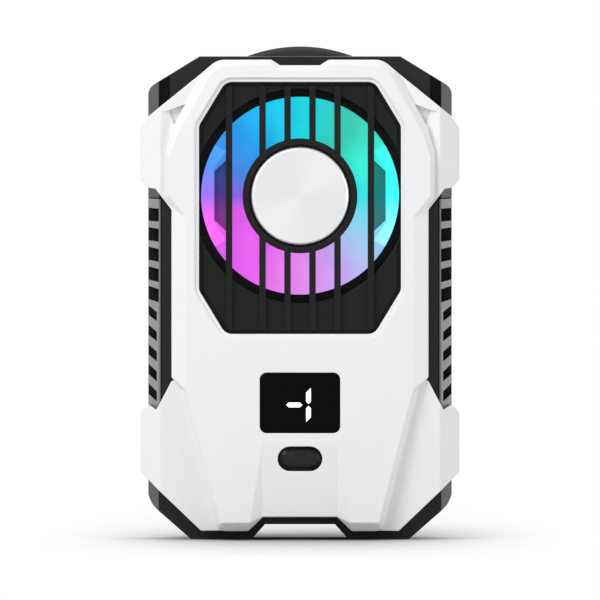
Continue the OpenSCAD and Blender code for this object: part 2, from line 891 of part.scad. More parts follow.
module case_bosses() {
    at_case_screws() disc(boss_d, case_z0 + head_h, split_z);
    at_fan_screws() disc(fan_boss_d, floor_z - root, fan_z0);
    at_board_screws() disc(board_boss_d, floor_z - root, board_back);
}

module case_cuts() {
    bore = screw_d + 2 * thread_gap;
    at_case_screws() {
        disc(bore, case_z0 - over, split_z + over);
        disc(head_d + 2 * head_gap, case_z0 - over, case_z0 + head_gap + head_h);
        disc(boss_d + 2 * fit_gap, split_z, rim_z + over);
    }
    at_fan_screws() disc(bore, floor_z, fan_z0 + over);
    at_board_screws() disc(bore, floor_z, board_back + over);
    at_sink_screws() disc(bore, case_z0 + head_gap, floor_z + over);
    at_fan() box(peltier_w + 2 * fit_gap, peltier_w + 2 * fit_gap, case_z0 - over, floor_z + over);
    translate([0, notch_h, 0])
        box(port_w + 2 * fit_gap, 4 * wall, port_z0 - fit_gap, board_back + fit_gap);
    both_sides() {
        translate([vent_in_x - over, vent_y0, vent_z0])
            cube([2 * side_slope + wall + 2 * over, vent_y1 - vent_y0, vent_z1 - vent_z0]);
        translate([vent_front_x, vent_y0, vent_z1 - over])
            cube([2 * side_slope, vent_y1 - vent_y0, rim_t + 2 * over]);
        translate([case_x - side_slope - rail_w, rail_y, rim_z - rail_t])
            cube([rail_w - fit_gap, case_h, rail_t + over]);
    }
}

module rear_case() {
    color(black) stand() difference() {
        union() {
            case_tub();
            case_bosses();
        }
        case_cuts();
    }
}

vent_rail = 1.2;
low_windows = 5;
low_window_h = 1.5;
// First and last window of the slanted and the level group, and the width of the frame in front of them
vent_groups = [[0, low_windows - 1, 0.75], [low_windows, vent_windows - 1, 0.3]];
window_l = 10;

// Slope of a vent's window in degrees, from the lowest one upwards
function window_turn(i) = i < low_windows ? 42 - 1.5 * i : 14 * (vent_windows - i) / (vent_windows - low_windows);

// Insert for the right-hand vent, with slanted windows below and level ones above
module louvre() {
    y0 = vent_y0 + fit_gap;
    y1 = vent_y1 - fit_gap;
    z0 = vent_z0 + fit_gap;
    z1 = vent_z1 - fit_gap;
    front_x = vent_front_x + fit_gap;
    open_h = y1 - y0 - 2 * vent_rail;
    pitch = open_h / vent_windows;
    difference() {
        along_y(y0, y1) polygon([
            [vent_in_x, z0], [case_x, z0], [case_x, slope_z], [case_x - side_slope, rim_z], [front_x, rim_z],
            [front_x, z1], [vent_in_x, z1]
        ]);
        for (g = vent_groups) intersection() {
            union() for (i = [g[0] : g[1]])
                translate([case_x - side_slope / 2, y0 + vent_rail + (i + 0.5) * pitch, 0]) rotate(window_turn(i))
                    box(window_l, i < low_windows ? low_window_h : pitch - slat_t, z0 + vent_rail, rim_z + over);
            union() {
                translate([vent_in_x - over, y0 + vent_rail, z0])
                    cube([window_l, open_h, z1 - vent_rail - z0]);
                translate([front_x + g[2], y0 + vent_rail, z0]) cube([window_l, open_h, rim_z + over - z0]);
            }
        }
    }
}

module vent_louvre_right() {
    color(slate) stand() louvre();
}

module vent_louvre_left() {
    color(slate) stand() mirror([1, 0, 0]) louvre();
}

module case_screws() {
    z = case_z0 + head_gap;
    color(steel) stand() at_case_screws() screw(z, boss_z1 - 2 * over - z);
}

// Contact face, heat pump and heat sink

puck_gap = 0.2;
puck_chamfer = 0.7;
groove_gap = 0.15;
flux_t = 0.6;
magnet_gap_deg = 2;

module magnet_housing() {
    r = puck_d / 2;
    hole_r = plate_d / 2 + puck_gap;
    groove_in = magnet_pcd / 2 - magnet_w / 2 - groove_gap;
    groove_out = magnet_pcd / 2 + magnet_w / 2 + groove_gap;
    groove_z = pad_t + magnet_t + flux_t;
    color(black) stand() at_fan() rotate_extrude($fn = 128) polygon([
        [hole_r, pad_t], [groove_in, pad_t], [groove_in, groove_z], [groove_out, groove_z],
        [groove_out, pad_t], [r - puck_chamfer, pad_t], [r, pad_t + puck_chamfer],
        [r, case_z0 - puck_chamfer], [r - puck_chamfer, case_z0], [hole_r, case_z0]
    ]);
}

module magnet_ring() {
    step = 360 / magnets;
    color(steel) stand() at_fan() for (i = [0 : magnets - 1]) rotate(i * step)
        rotate_extrude(angle = step - magnet_gap_deg)
            translate([magnet_pcd / 2 - magnet_w / 2, pad_t]) square([magnet_w, magnet_t]);
}

module flux_ring() {
    z = pad_t + magnet_t;
    color(steel) stand() at_fan() ring(magnet_pcd + magnet_w, magnet_pcd - magnet_w, z, z + flux_t);
}

module contact_pad() {
    color(slate) stand() at_fan() ring(puck_d - 2 * puck_chamfer, plate_d + 2 * puck_gap, 0, pad_t);
}

module cold_plate() {
    color(silver) stand() at_fan() disc(plate_d, 0, plate_t);
}

module peltier_module() {
    color("white") stand() at_fan() box(peltier_w, peltier_w, plate_t, floor_z);
}

module peltier_gasket() {
    color(slate) stand() at_fan() difference() {
        disc(plate_d, plate_t, case_z0);
        box(peltier_w + 2 * fit_gap, peltier_w + 2 * fit_gap, plate_t - over, case_z0 + over);
    }
}

module heat_sink() {
    base_z = floor_z + sink_base_t;
    ear = 2 * (sink_screw_x + head_d / 2 + head_gap);
    pitch = (sink_h - fin_t) / (fins - 1);
    color(silver) stand() difference() {
        at_fan() {
            box(ear, sink_h, floor_z, base_z);
            for (i = [0 : fins - 1]) translate([0, i * pitch - (sink_h - fin_t) / 2, 0])
                box(sink_w, fin_t, base_z - root, fan_z0);
        }
        at_sink_screws() disc(screw_d + 2 * head_gap, floor_z - over, base_z + over);
    }
}

// Screw that points to the rear, with the underside of its head at z
module rear_screw(z, length) {
    disc(head_d, z, z + head_h);
    disc(screw_d, z - length, z + root);
}

module sink_screws() {
    color(steel) stand() at_sink_screws()
        rear_screw(floor_z + sink_base_t, sink_base_t + wall - 2 * head_gap);
}

// Fixed half of the fan

frame_wall = 1.2;
spoke_w = 2.4;
motor_d = 15;
tube_d = 6.4;
tube_bore = 4.4;
bush_gap = 0.03;
motor_board_t = 0.5;
spin_z0 = rotor_z0 + motor_board_t;
cap_t = 0.9;
cap_z = rotor_z1 - cap_t;
hub_boss_h = 1;
tube_z1 = cap_z - hub_boss_h - run_gap;
ear_t = 1.6;

module fan_frame() {
    color(black) stand() {
        at_fan() {
            ring(frame_d + 2 * frame_wall, frame_d, fan_z0, fan_z1);
            disc(motor_d, fan_z0, motor_z);
            for (a = fan_ear_at) rotate(a) translate([(motor_d + frame_d) / 4, 0, 0])
                box((frame_d - motor_d) / 2 + 2 * frame_wall, spoke_w, fan_z0, motor_z);
            ring(tube_d, tube_bore, motor_z - root, tube_z1);
        }
        difference() {
            at_fan() for (a = fan_ear_at) rotate(a) {
                translate([fan_ear_r, 0, 0]) disc(fan_boss_d, fan_z0, fan_z0 + ear_t);
                translate([(frame_d / 2 + frame_wall / 2 + fan_ear_r) / 2, 0, 0])
                    box(fan_ear_r - frame_d / 2 - frame_wall / 2, fan_boss_d, fan_z0, fan_z0 + ear_t);
            }
            at_fan_screws() disc(screw_d + 2 * head_gap, fan_z0 - over, fan_z0 + ear_t + over);
        }
    }
}

module fan_screws() {
    color(steel) stand() at_fan_screws() rear_screw(fan_z0 + ear_t, ear_t + fan_z0 - floor_z - over);
}

module bearing_bush() {
    color(copper) stand() at_fan()
        ring(tube_bore - 2 * bush_gap, shaft_d + 2 * shaft_gap, motor_z, tube_z1);
}

module motor_board() {
    color(green) stand() at_fan() ring(stator_d, tube_d + 2 * bush_gap, motor_z, motor_z + motor_board_t);
}

teeth = 6;
stator_d = 12;
tooth_w = 1.3;
stator_yoke_d = 8.2;
shoe_t = 0.6;
shoe_w = 4;
stator_z0 = motor_z + motor_board_t + 0.8;
stator_z1 = tube_z1 - 0.3;
coil_w = 0.6;

module at_teeth() {
    at_fan() for (i = [0 : teeth - 1]) rotate(i * 360 / teeth) children();
}

module stator_core() {
    tooth_l = stator_d / 2 - tube_d / 2;
    color(steel) stand() difference() {
        intersection() {
            at_fan() disc(stator_d, stator_z0, stator_z1);
            union() {
                at_fan() disc(stator_yoke_d, stator_z0, stator_z1);
                at_teeth() {
                    translate([(stator_d + tube_d) / 4, 0, 0]) box(tooth_l, tooth_w, stator_z0, stator_z1);
                    translate([(stator_d - shoe_t) / 2, 0, 0]) box(shoe_t, shoe_w, stator_z0, stator_z1);
                }
            }
        }
        at_fan() disc(tube_d + 2 * bush_gap, stator_z0 - over, stator_z1 + over);
    }
}

module stator_coils() {
    r0 = stator_yoke_d / 2 + 0.1;
    r1 = stator_d / 2 - shoe_t - 0.1;
    color(copper) stand() at_teeth() translate([(r0 + r1) / 2, 0, 0]) difference() {
        box(r1 - r0, tooth_w + 2 * coil_w, stator_z0 - coil_w, stator_z1 + coil_w / 2);
        box(r1 - r0 + over, tooth_w + 0.04, stator_z0 - 0.02, stator_z1 + 0.02);
    }
}

// Turning half of the fan

hub_wall = 0.8;
yoke_t = 0.6;
rotor_magnet_t = 0.75;
blade_t = 0.8;
blade_in = 0.25;
hub_boss_d = 4.6;
shaft_end = 0.1;

module fan_rotor() {
    yoke_d = hub_d - 2 * hub_wall;
    mid_z = (spin_z0 + rotor_z1) / 2;
    color("#e8ecf2") stand() at_fan() difference() {
        union() {
            ring(hub_d, yoke_d, spin_z0, cap_z + root);
            disc(hub_d, cap_z, rotor_z1);
            disc(hub_boss_d, cap_z - hub_boss_h, cap_z + root);
            for (i = [0 : blades - 1]) rotate(i * 360 / blades) intersection() {
                ring(rotor_d, hub_d - hub_wall, spin_z0 + blade_in, rotor_z1 - blade_in);
                translate([rotor_d / 4, 0, mid_z]) rotate([blade_pitch, 0, 0])
                    cube([rotor_d / 2, rotor_d / 2, blade_t], center = true);
            }
        }
        disc(shaft_d + 2 * bush_gap, cap_z - hub_boss_h - over, rotor_z1 - cap_t / 2);
    }
}

module rotor_yoke() {
    d = hub_d - 2 * hub_wall;
    color(steel) stand() at_fan() ring(d, d - 2 * yoke_t, spin_z0, cap_z);
}

module rotor_magnet() {
    d = hub_d - 2 * hub_wall - 2 * yoke_t;
    color(slate) stand() at_fan() ring(d, d - 2 * rotor_magnet_t, spin_z0, cap_z - run_gap);
}

module rotor_shaft() {
    color(silver) stand() at_fan() disc(shaft_d, motor_z + shaft_end, rotor_z1 - cap_t / 2);
}

// Electronics and battery

board_h = board_y1 - board_y0;
board_mid = (board_y0 + board_y1) / 2;
// Chips on the main board: x, drop under its upper edge, width, height, thickness
chip_list = [
    [-14, 10.6, 6, 6, 1], [13.5, 10.1, 5, 5, 1.1], [-11, 21.1, 4, 4, 0.9], [11.5, 20.1, 4, 3, 1],
    [12, 14.6, 3, 2, 0.8]
];
battery_y0 = board_y0 + 0.8;
battery_h = ear_low_y - battery_gap - battery_y0;

module main_board() {
    color(green) stand() difference() {
        translate([0, board_mid, 0]) box(board_w, board_h, board_back, board_z);
        at_board_screws() disc(screw_d + 2 * head_gap, board_back - over, board_z + over);
    }
}

module board_chips() {
    color(black) stand() for (c = chip_list)
        translate([c[0], board_y1 - c[1], 0]) box(c[2], c[3], board_z, board_z + c[4]);
}

module board_screws() {
    color(steel) stand() at_board_screws() rear_screw(board_z, board_t + board_back - floor_z - over);
}

port_wall = 0.35;
tongue_w = 6.7;
tongue_t = 0.7;
tongue_in = 0.8;

module usb_c_port() {
    mid_z = port_z0 + port_t / 2;
    color(steel) stand() translate([0, port_y0 + port_l, mid_z]) rotate([90, 0, 0]) difference() {
        pill(port_w, port_t, 0, port_l);
        pill(port_w - 2 * port_wall, port_t - 2 * port_wall, port_wall, port_l + over);
    }
}

module usb_c_tongue() {
    mid_z = port_z0 + port_t / 2;
    color(black) stand() translate([0, port_y0 + port_l, mid_z]) rotate([90, 0, 0])
        box(tongue_w, tongue_t, port_wall, port_l - tongue_in);
}

module battery_foam() {
    color(slate) stand() translate([0, battery_y0 + battery_h / 2, 0])
        box(battery_w, battery_h, floor_z, floor_z + foam_t);
}

module battery() {
    z = floor_z + foam_t;
    color(silver) stand() translate([0, battery_y0 + battery_h / 2, 0])
        rounded_box(battery_w, battery_h, 1, z, z + battery_t);
}

front_shell();
fan_grille();
hub_badge();
light_guide();
led_ring_board();
led_chips();
display_window();
display_segments();
display_module();
power_button();
switch_plunger();
main_board();
board_chips();
board_screws();
tact_switch();
usb_c_port();
usb_c_tongue();
battery();
battery_foam();
rear_case();
vent_louvre_left();
vent_louvre_right();
case_screws();
magnet_housing();
magnet_ring();
flux_ring();
contact_pad();
cold_plate();
peltier_module();
peltier_gasket();
heat_sink();
sink_screws();
fan_frame();
fan_screws();
motor_board();
bearing_bush();
stator_core();
stator_coils();
fan_rotor();
rotor_yoke();
rotor_magnet();
rotor_shaft();
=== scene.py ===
"""Looks of a magnetic phone cooler: skins over the CAD solids, their materials, the light and the camera."""

import json
import math

import bmesh
import bpy
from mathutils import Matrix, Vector
from mathutils.bvhtree import BVHTree


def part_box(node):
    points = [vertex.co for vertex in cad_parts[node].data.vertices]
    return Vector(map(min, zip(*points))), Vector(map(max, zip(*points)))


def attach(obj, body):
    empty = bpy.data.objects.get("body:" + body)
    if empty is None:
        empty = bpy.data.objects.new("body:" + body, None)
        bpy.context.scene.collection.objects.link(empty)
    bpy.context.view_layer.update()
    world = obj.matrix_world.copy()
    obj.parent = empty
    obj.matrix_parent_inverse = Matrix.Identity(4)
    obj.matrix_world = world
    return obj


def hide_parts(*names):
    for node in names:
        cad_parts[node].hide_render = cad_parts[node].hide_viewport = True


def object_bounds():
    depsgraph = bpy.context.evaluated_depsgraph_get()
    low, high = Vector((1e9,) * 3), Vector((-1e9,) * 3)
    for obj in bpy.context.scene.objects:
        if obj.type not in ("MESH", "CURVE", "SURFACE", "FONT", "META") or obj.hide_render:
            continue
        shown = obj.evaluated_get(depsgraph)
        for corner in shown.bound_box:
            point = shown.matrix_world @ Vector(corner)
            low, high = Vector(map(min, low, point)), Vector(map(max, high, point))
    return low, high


MM = 0.001
FRONT = Vector((0, -1, 0))
BACK = Vector((0, 1, 0))

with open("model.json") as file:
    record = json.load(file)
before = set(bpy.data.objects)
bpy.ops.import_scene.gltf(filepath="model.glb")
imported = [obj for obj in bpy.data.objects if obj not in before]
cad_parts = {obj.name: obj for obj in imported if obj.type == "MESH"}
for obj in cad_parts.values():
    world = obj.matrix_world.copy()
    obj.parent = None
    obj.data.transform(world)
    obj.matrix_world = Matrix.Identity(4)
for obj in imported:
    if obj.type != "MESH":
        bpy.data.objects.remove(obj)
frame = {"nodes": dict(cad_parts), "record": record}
cad_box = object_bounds()
nodes = frame["nodes"]
slot_of = {row["node"]: row["material_slot"] for row in frame["record"]["subparts"]}
body_of = {node: body for body, names in frame["record"]["behaviour"]["bodies"].items() for node in names}

badge_low, badge_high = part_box("hub_badge")
FAN_AXIS = (badge_low + badge_high) / 2


# Material helpers

# Shares of a noise between which a colour goes from its dark to its pale shade
NOISE_BAND = (0.3, 0.7)
LINE_BAND = (0.25, 0.75)


class Finish:
    """A node material with short calls for the nodes that the finishes below share."""

    def __init__(self, name, **sockets):
        self.material = bpy.data.materials.new(name)
        self.material.use_nodes = True
        self.tree = self.material.node_tree
        self.shader = self.tree.nodes["Principled BSDF"]
        self.set(self.shader, **sockets)

    def set(self, node, **sockets):
        """Sets inputs of a node, with an underscore for each space in their names."""
        for socket, value in sockets.items():
            node.inputs[socket.replace("_", " ")].default_value = value

    def add(self, kind, **settings):
        """New node of a kind, with its settings."""
        node = self.tree.nodes.new("ShaderNode" + kind)
        for key, value in settings.items():
            setattr(node, key, value)
        return node

    def link(self, output, socket):
        self.tree.links.new(output, socket)

    def feed(self, name, output):
        """Links an output to an input of the shader."""
        self.link(output, self.shader.inputs[name])

    def place(self, scale=(1, 1, 1), origin=(0, 0, 0)):
        """Object coordinates, moved to origin and scaled."""
        coords = self.add("TexCoord")
        shift = self.add("VectorMath", operation="SUBTRACT")
        shift.inputs[1].default_value = origin
        stretch = self.add("VectorMath", operation="MULTIPLY")
        stretch.inputs[1].default_value = scale
        self.link(coords.outputs["Object"], shift.inputs[0])
        self.link(shift.outputs[0], stretch.inputs[0])
        return stretch.outputs[0]

    def split(self, place):
        """X, Y and Z of a place."""
        parts = self.add("SeparateXYZ")
        self.link(place, parts.inputs[0])
        return parts.outputs

    def noise(self, scale, detail, place=None):
        node = self.add("TexNoise")
        self.set(node, Scale=scale, Detail=detail, Roughness=0.55)
        self.link(place or self.place(), node.inputs["Vector"])
        return node.outputs["Fac"]

    def math(self, operation, a, b=None):
        node = self.add("Math", operation=operation)
        for socket, value in zip(node.inputs, (a, b)):
            if isinstance(value, (int, float)):
                socket.default_value = value
            elif value is not None:
                self.link(value, socket)
        return node.outputs[0]

    def ramp(self, factor, stops):
        """Colour ramp with stops of position and colour."""
        node = self.add("ValToRGB")
        points = node.color_ramp.elements
        while len(points) < len(stops):
            points.new(0.5)
        for point, (position, colour) in zip(points, stops):
            point.position = position
            point.color = (*colour, 1)
        self.link(factor, node.inputs["Fac"])
        return node.outputs["Color"]

    def vary(self, factor, colour, shades, band=NOISE_BAND):
        """Colour that goes from a dark to a pale shade with a noise."""
        return self.ramp(factor, [(position, shade(colour, share)) for position, share in zip(band, shades)])

    def span(self, value, interpolation="LINEAR", **limits):
        """Value mapped from one range to another."""
        node = self.add("MapRange", interpolation_type=interpolation)
        self.set(node, **limits)
        self.link(value, node.inputs["Value"])
        return node.outputs["Result"]

    def roughen(self, factor, middle, play):
        """Roughness that goes up and down about its middle with a noise."""
        self.feed("Roughness", self.span(factor, To_Min=middle - play, To_Max=middle + play))

    def bump(self, height, depth):
        node = self.add("Bump")
        self.set(node, Strength=1.0, Distance=depth)
        self.link(height, node.inputs["Height"])
        self.feed("Normal", node.outputs["Normal"])


def linear(red, green, blue):
    """Screen colour, 0 to 255, as the linear colour that renders to it."""
    def channel(value):
        value /= 255
        return value / 12.92 if value <= 0.04045 else ((value + 0.055) / 1.055) ** 2.4
    return channel(red), channel(green), channel(blue)


def shade(colour, factor):
    """Colour made darker or paler, up to white."""
    return tuple(min(1, channel * factor) for channel in colour)


def grey(level):
    return (level, level, level)


# Materials

# Noise scales of a moulded surface, per metre
CLOUD_SCALE = 90
SHEEN_SCALE = 420
SPECK_SCALE = 3200
MOULD_PLAY = 0.05

# Shades, roughness play and depth of the lines in metal
DRAWN_SHADES = (0.9, 1.06)
DRAWN_PLAY = 0.06
DRAWN_DEPTH = 0.002 * MM
SPUN_SHADES = (0.96, 1.03)
SPUN_PLAY = 0.05
SPUN_SCALE = 9000.0


def moulded(name, colour, roughness, grain=0.004, mottle=0.02, sheen=0.5):
    """Moulded plastic: a faint cloud in the colour, a fine eroded grain and an uneven sheen."""
    finish = Finish(name, Specular_IOR_Level=sheen)
    cloud = finish.noise(CLOUD_SCALE, 4)
    speck = finish.noise(SPECK_SCALE, 2)
    finish.feed("Base Color", finish.vary(cloud, colour, (1 - mottle, 1 + mottle)))
    finish.roughen(finish.noise(SHEEN_SCALE, 3), roughness, MOULD_PLAY)
    finish.bump(speck, grain * MM)
    return finish.material


def metal(name, colour, roughness, stretch=(60, 4000, 4000)):
    """Drawn or machined metal with fine lines along one direction."""
    finish = Finish(name, Metallic=1.0)
    lines = finish.noise(1, 3, finish.place(stretch))
    finish.feed("Base Color", finish.vary(lines, colour, DRAWN_SHADES, LINE_BAND))
    finish.roughen(lines, roughness, DRAWN_PLAY)
    finish.bump(lines, DRAWN_DEPTH)
    return finish.material


def spun_metal(name, colour, roughness, axis):
    """Metal turned about an axis along Y: fine rings that fan the reflections out from the middle."""
    finish = Finish(name, Metallic=1.0, Anisotropic=0.5)
    parts = finish.split(finish.place(origin=axis))
    squares = [finish.math("POWER", parts[along], 2) for along in ("X", "Z")]
    radius = finish.math("SQRT", finish.math("ADD", *squares))
    rings = finish.add("TexNoise", noise_dimensions="1D")
    finish.set(rings, Scale=SPUN_SCALE, Detail=3.0)
    finish.link(radius, rings.inputs["W"])
    finish.feed("Base Color", finish.vary(rings.outputs["Fac"], colour, SPUN_SHADES))
    finish.roughen(rings.outputs["Fac"], roughness, SPUN_PLAY)
    tangent = finish.add("Tangent", direction_type="RADIAL", axis="Y")
    finish.feed("Tangent", tangent.outputs[0])
    return finish.material


CYAN = linear(50, 244, 250)
AQUA = linear(56, 246, 222)
MINT = linear(60, 212, 186)
TURQUOISE = linear(20, 224, 230)
SKY = linear(20, 212, 250)
AZURE = linear(32, 162, 246)
BLUE = linear(76, 138, 240)
VIOLET = linear(150, 104, 248)
MAGENTA = linear(236, 98, 246)
PINK = linear(246, 138, 250)
LILAC = linear(210, 166, 250)
ICE = linear(176, 204, 250)

# Colours of the light ring by angle, as shares of a turn anticlockwise from the right
RING_COLOURS = [
    (0.00, CYAN), (0.08, AQUA), (0.15, MINT), (0.23, TURQUOISE), (0.29, SKY), (0.37, AZURE), (0.45, BLUE),
    (0.50, VIOLET), (0.54, MAGENTA), (0.66, MAGENTA), (0.73, PINK), (0.82, LILAC), (0.88, ICE), (1.00, CYAN),
]
# Share of the ring colours in the base colour: painted LED light on the frosted guide
PAINTED_TINT_SHARE = 0.2

# Glow of the light guide by depth, from the front of its raised blocks to its back: the LEDs' own light,
# dimmed on the sunk faces as painted shade
GLOW_AND_SHADE_BY_DEPTH = [(0.05, 1.15), (0.2, 0.85), (0.4, 0.75), (0.6, 0.14), (1.0, 0.1)]
GLOW_PLAY = 0.15
GLOW_SCALE = 160


def glowing_guide(name, axis, box):
    """Frosted light guide lit by its LEDs: colours run round the axis, raised faces glow most and the sunk
    faces are dimmed as painted shade; its base colour is tinted with the ring colours as painted light.
    """
    low, high = box
    finish = Finish(name, Roughness=0.35, Specular_IOR_Level=0.2)
    parts = finish.split(finish.place(origin=axis))
    turn = finish.math("ARCTAN2", parts["Z"], parts["X"])
    share = finish.math("FRACT", finish.math("ADD", finish.math("DIVIDE", turn, 2 * math.pi), 1))
    painted_tint = [(position, shade(colour, PAINTED_TINT_SHARE)) for position, colour in RING_COLOURS]
    finish.feed("Emission Color", finish.ramp(share, RING_COLOURS))
    finish.feed("Base Color", finish.ramp(share, painted_tint))
    depth = finish.span(parts["Y"], From_Min=low.y - axis.y, From_Max=high.y - axis.y)
    glow = finish.ramp(depth, [(position, grey(level)) for position, level in GLOW_AND_SHADE_BY_DEPTH])
    cloud = finish.span(finish.noise(GLOW_SCALE, 3), To_Min=1 - GLOW_PLAY, To_Max=1 + GLOW_PLAY)
    finish.feed("Emission Strength", finish.math("MULTIPLY", glow, cloud))
    return finish.material


FIGURE_SCALE = 700
FIGURE_GLOW = (0.94, 1)
FIGURE_BODY = (0.8, 1)


def lit(name, colour, strength):
    """Lit display figures with a slight unevenness in their light."""
    finish = Finish(name, Roughness=0.4, Emission_Strength=strength)
    cloud = finish.noise(FIGURE_SCALE, 2)
    finish.feed("Emission Color", finish.vary(cloud, colour, FIGURE_GLOW))
    finish.feed("Base Color", finish.vary(cloud, colour, FIGURE_BODY))
    return finish.material


WHITE = linear(241, 242, 243)
BLACK = linear(26, 26, 27)
LOW_SHEEN = 0.15

FINISHES = {
    "shell_white": moulded("shell_white", WHITE, 0.36, grain=0.0025, mottle=0.008),
    "grille_black": moulded("grille_black", BLACK, 0.34, sheen=LOW_SHEEN),
    "spun_silver": spun_metal("spun_silver", linear(232, 232, 235), 0.3, FAN_AXIS),
    "frosted_guide": glowing_guide("frosted_guide", FAN_AXIS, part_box("light_guide")),
    "board_black": moulded("board_black", linear(16, 16, 18), 0.45, sheen=LOW_SHEEN),
    "led_white": moulded("led_white", linear(236, 236, 228), 0.4),
    "smoked_window": moulded("smoked_window", linear(5, 5, 6), 0.12, grain=0.0, sheen=0.05),
    "lit_segment": lit("lit_segment", linear(255, 255, 255), 1.0),
    "dark_plastic": moulded("dark_plastic", linear(40, 41, 43), 0.5, sheen=0.3),
    "button_black": moulded("button_black", linear(28, 28, 29), 0.42, sheen=0.18),
    "board_green": moulded("board_green", linear(28, 84, 58), 0.4, mottle=0.12),
    "chip_black": moulded("chip_black", linear(24, 24, 26), 0.55, sheen=0.3),
    "screw_steel": metal("screw_steel", linear(176, 178, 182), 0.3),
    "plated_steel": metal("plated_steel", linear(190, 192, 196), 0.25),
    "cell_foil": metal("cell_foil", linear(196, 198, 202), 0.38, (900, 900, 900)),
    "foam_dark": moulded("foam_dark", linear(44, 45, 48), 0.9, grain=0.08, mottle=0.15),
    "case_black": moulded("case_black", linear(30, 30, 31), 0.36, sheen=0.2),
    # Pale grey for the black louvres: a painted reflection of the white surroundings
    "vent_black": moulded("vent_black", linear(120, 121, 124), 0.34),
    "puck_black": moulded("puck_black", linear(56, 56, 58), 0.38, sheen=0.25),
    "magnet_nickel": metal("magnet_nickel", linear(186, 184, 178), 0.22, (700, 700, 700)),
    "pad_silicone": moulded("pad_silicone", linear(52, 53, 56), 0.62, grain=0.006, mottle=0.05, sheen=0.3),
    "plate_aluminium": metal("plate_aluminium", linear(208, 210, 213), 0.3, (40, 3000, 3000)),
    "pump_ceramic": moulded("pump_ceramic", linear(236, 236, 232), 0.7),
    "sink_aluminium": metal("sink_aluminium", linear(204, 206, 210), 0.32, (50, 2500, 2500)),
    "bush_bronze": metal("bush_bronze", linear(176, 128, 72), 0.35),
    "coil_copper": metal("coil_copper", linear(190, 112, 62), 0.3, (4000, 4000, 60)),
    "fan_frosted": moulded("fan_frosted", linear(196, 200, 212), 0.42),
    "magnet_dark": moulded("magnet_dark", linear(58, 58, 62), 0.6),
}

# Second finishes, on some faces of a piece: painted shade on the channel floors of the case, in the louvre
# windows and on the button border
CHANNEL_SHADE = moulded("channel_shade", linear(10, 10, 11), 0.5, sheen=0.08)
# Dark louvre windows: painted shade
VENT_WINDOW_SHADE = moulded("vent_window_shade", linear(26, 26, 27), 0.5, sheen=LOW_SHEEN)
# Darker button border: painted shade on its slopes
BUTTON_BORDER_SHADE = moulded("button_border_shade", linear(12, 12, 13), 0.3, sheen=LOW_SHEEN)


# Skins: copies of the CAD solids with rounded edges

# Radius and steps of the rounded edges of each skin
EDGES = {
    "front_shell": (0.2 * MM, 3),
    "rear_case": (0.12 * MM, 2),
    "fan_grille": (0.1 * MM, 2),
    "light_guide": (0.12 * MM, 2),
    "power_button": (0.2 * MM, 3),
    "vent_louvre_left": (0.08 * MM, 2),
    "vent_louvre_right": (0.08 * MM, 2),
    "display_window": (0.15 * MM, 2),
    "case_screws": (0.15 * MM, 3),
}

# Limits for joining points and flat triangles
WELD = 0.001 * MM
MIRROR_SLACK = 2 * WELD
TINY_EDGE = 0.12 * MM
FLAT_ANGLE = math.radians(0.6)

# Limits for what counts as seen, facing a side, sharp, broad and wide enough to round
LOOKS = [Vector(look) for look in ((1, 0, 0), (-1, 0, 0), (0, 1, 0), (0, -1, 0), (0, 0, 1), (0, 0, -1))]
LOOK_LIFT = 20 * WELD
EDGE_ON = -0.02
OPEN_FACING = 0.9
FACING = 0.95
SHARP_EDGE = math.radians(28)
ROOM = 3
CREASE = math.radians(50)
FLAT_BREAK = math.radians(13)
BROAD = 0.3 * MM * MM
HULL_SLACK = 0.6 * MM


def clean_copy(node):
    """Mesh of a CAD node, cut at the mirror plane, with its flat triangles joined into whole faces."""
    mesh = bmesh.new()
    mesh.from_mesh(nodes[node].data)
    bmesh.ops.remove_doubles(mesh, verts=mesh.verts, dist=WELD)
    bmesh.ops.bisect_plane(mesh, geom=mesh.verts[:] + mesh.edges[:] + mesh.faces[:], dist=WELD,
                           plane_co=(0, 0, 0), plane_no=(1, 0, 0))
    aside = {vert for vert in mesh.verts if abs(vert.co.x) > MIRROR_SLACK}
    bmesh.ops.dissolve_limit(mesh, angle_limit=FLAT_ANGLE, verts=list(aside),
                             edges=[edge for edge in mesh.edges if aside.intersection(edge.verts)])
    bmesh.ops.dissolve_degenerate(mesh, dist=TINY_EDGE, edges=mesh.edges)
    mesh.normal_update()
    return mesh


def outer_faces(mesh, open_side):
    """Faces that a straight look from outside reaches, without those of the open side of a shell."""
    tree = BVHTree.FromBMesh(mesh)
    looks = [look for look in LOOKS if look != open_side]
    seen = set()
    for corners in mesh.calc_loop_triangles():
        face = corners[0].face
        if open_side and open_side.dot(face.normal) > OPEN_FACING:
            continue
        start = sum((corner.vert.co for corner in corners), Vector()) / 3 + LOOK_LIFT * face.normal
        if any(look.dot(face.normal) > EDGE_ON and tree.ray_cast(start, look)[0] is None for look in looks):
            seen.add(face)
    return seen


def hull_faces(mesh):
    """Faces that have the whole mesh behind them."""
    corners = [vert.co for vert in mesh.verts]
    return {face for face in mesh.faces
            if all((corner - face.verts[0].co).dot(face.normal) < HULL_SLACK for corner in corners)}


def bevel(mesh, edges, width, steps, clamp=True):
    bmesh.ops.bevel(mesh, geom=list(edges), offset=width, offset_type="OFFSET", segments=steps, profile=0.5,
                    affect="EDGES", clamp_overlap=clamp)


def is_sharp(edge):
    """True for an outward edge that is sharp enough to round."""
    return edge.is_convex and edge.calc_face_angle(0) > SHARP_EDGE


def round_edges(mesh, width, steps, open_side):
    """Rounds the sharp outward edges between faces that show from outside and are wide enough for it."""
    seen = outer_faces(mesh, open_side)

    def fits(edge):
        return min(face.calc_area() for face in edge.link_faces) > ROOM * width * edge.calc_length()

    edges = [edge for edge in mesh.edges
             if is_sharp(edge) and seen.issuperset(edge.link_faces) and fits(edge)]
    bevel(mesh, edges, width, steps, clamp=False)


